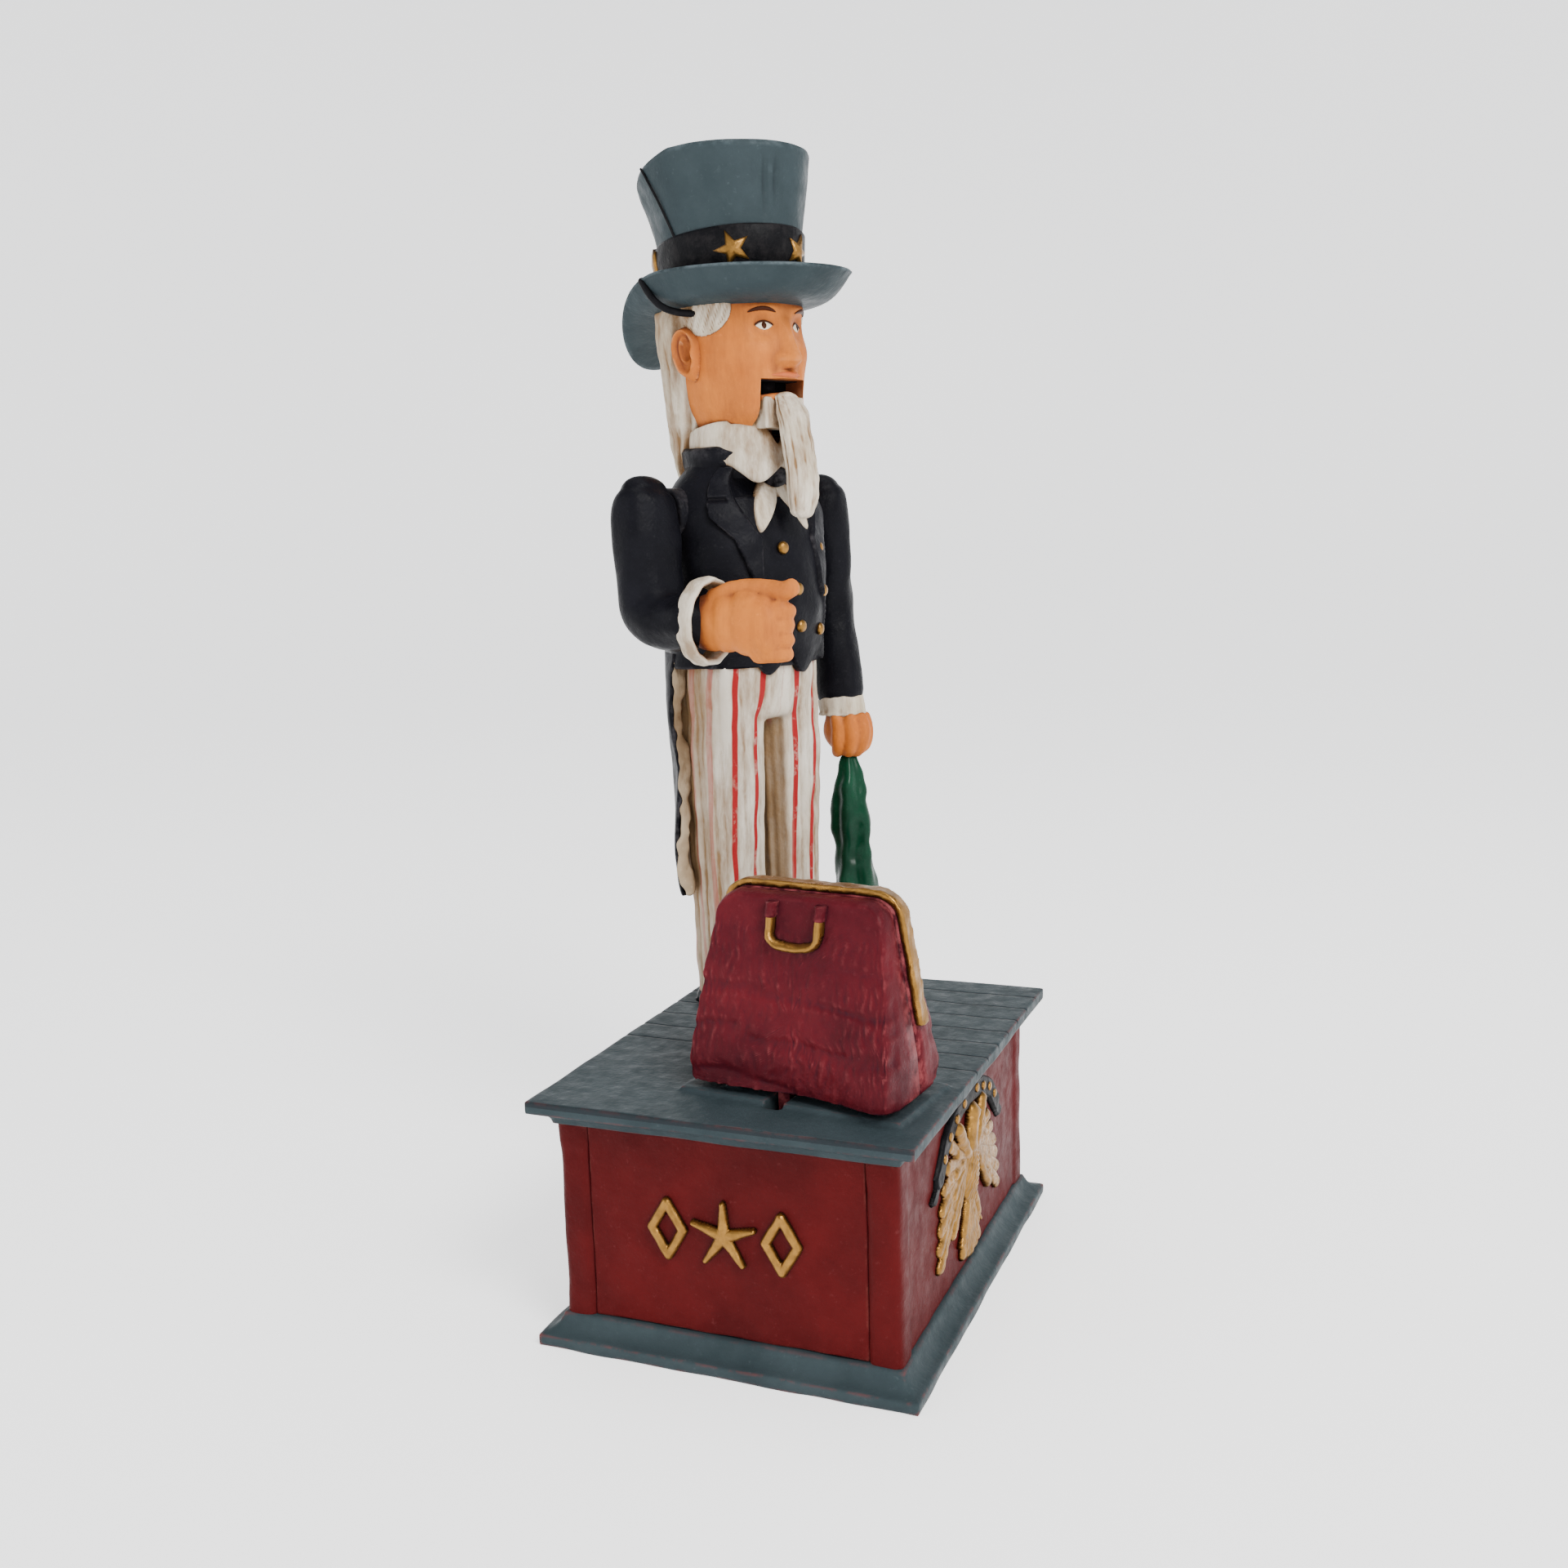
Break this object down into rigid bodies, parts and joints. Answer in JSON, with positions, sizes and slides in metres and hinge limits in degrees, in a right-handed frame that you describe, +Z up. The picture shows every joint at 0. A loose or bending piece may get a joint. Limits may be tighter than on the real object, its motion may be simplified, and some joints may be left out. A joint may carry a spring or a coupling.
{
  "type": "mechanical bank",
  "caption": "Cast-iron mechanical bank: a standing gentleman whose arm drops a coin into a bag that opens over a locked box.",
  "frame": {"origin": "centre of the plinth's underside, on the surface the bank stands on", "axes": "+Z up, -Y out of the front panel, +X towards the side that the figure looks to"},
  "size_m": [0.1121, 0.1358, 0.2924],
  "materials": {
    "wall_red": "dark red oil paint on cast iron, satin with orange-peel texture",
    "blue_grey": "blue-grey paint on cast iron, worn to red at the edges",
    "coat_black": "black paint on cast iron, satin",
    "trouser_cream": "cream paint with brown antique wash",
    "flesh": "flesh-coloured paint on cast iron",
    "hair_white": "off-white paint with brown antique wash",
    "bag_red": "dark red paint on wrinkled cast iron, satin",
    "gilt": "gold bronze paint",
    "umbrella_green": "glossy dark green paint",
    "steel": "zinc-plated steel",
    "spring_steel": "drawn spring wire",
    "bronze": "turned bronze",
    "iron": "raw casting"
  },
  "bodies": {
    "root": {"plinth": "blue_grey", "side_panel_right": "wall_red", "side_panel_left": "wall_red", "front_panel": "wall_red", "rear_panel": "wall_red", "top_plate": "blue_grey", "base_bolts": "steel", "figure_front": "coat_black", "figure_back": "coat_black", "body_screws": "steel", "figure_bolts": "steel", "left_arm": "coat_black", "left_arm_rivet": "steel", "umbrella": "umbrella_green", "shoulder_bushes": "bronze", "jaw_pin": "steel", "lever_pin": "steel", "return_spring": "spring_steel", "bag_rear": "bag_red", "bag_clasp": "gilt", "bag_hinge_pin": "steel", "bag_screw": "steel"},
    "arm": {"right_arm": "coat_black", "arm_shaft": "steel", "arm_crank": "iron", "shaft_collar": "steel", "shoulder_washer": "steel"},
    "lever": {"base_lever": "iron"},
    "rods": {"leg_rod": "steel", "jaw_rod": "steel"},
    "jaw": {"jaw_beard": "hair_white"},
    "button": {"press_button": "gilt", "button_clip": "steel"},
    "bag_mouth": {"bag_front": "bag_red"},
    "link": {"bag_link": "steel"},
    "trap": {"coin_trap": "blue_grey", "trap_latch": "steel"}
  },
  "joints": [
    {"name": "arm_drop", "type": "hinge", "parent": "root", "child": "arm", "pos_m": [-0.04205, 0.00889, 0.1994], "axis": [0.4226, 0.9063, 0], "range_deg": [0, 30.1], "stiffness_Nm_per_rad": 0.12, "springref_deg": -40.11},
    {"name": "lever_rock", "type": "hinge", "parent": "root", "child": "lever", "pos_m": [0, -0.008, 0.03], "axis": [-1, 0, 0], "range_deg": [0, 7.66], "deforming": ["return_spring"]},
    {"name": "rod_pull", "type": "slide", "parent": "root", "child": "rods", "axis": [0, 0, -1], "range_m": [0, 0.00398]},
    {"name": "jaw_nod", "type": "hinge", "parent": "root", "child": "jaw", "pos_m": [-0.02025, 0.02962, 0.2324], "axis": [-0.4226, -0.9063, 0], "range_deg": [0, 15.69]},
    {"name": "button_press", "type": "slide", "parent": "root", "child": "button", "axis": [0, 0, -1], "range_m": [0, 0.00762]},
    {"name": "bag_open", "type": "hinge", "parent": "root", "child": "bag_mouth", "pos_m": [0.01365, -0.04055, 0.066], "axis": [0.9925, -0.1219, 0], "range_deg": [0, 10.75]},
    {"name": "link_pull", "type": "slide", "parent": "root", "child": "link", "axis": [0, 1, 0], "range_m": [0, 0.00282]},
    {"name": "trap_turn", "type": "hinge", "parent": "root", "child": "trap", "pos_m": [0.012, -0.026, 0.0015], "axis": [0, 0, 1], "range_deg": [0, 90]}
  ],
  "couplings": [
    {"joint": "lever_rock", "follows": "arm_drop", "ratio": 0.25382},
    {"joint": "rod_pull", "follows": "arm_drop", "m_per_rad": 0.0075359},
    {"joint": "jaw_nod", "follows": "arm_drop", "ratio": 0.51972},
    {"joint": "button_press", "follows": "arm_drop", "m_per_rad": 0.014468},
    {"joint": "bag_open", "follows": "arm_drop", "ratio": 0.35535},
    {"joint": "link_pull", "follows": "arm_drop", "m_per_rad": 0.0053302}
  ]
}
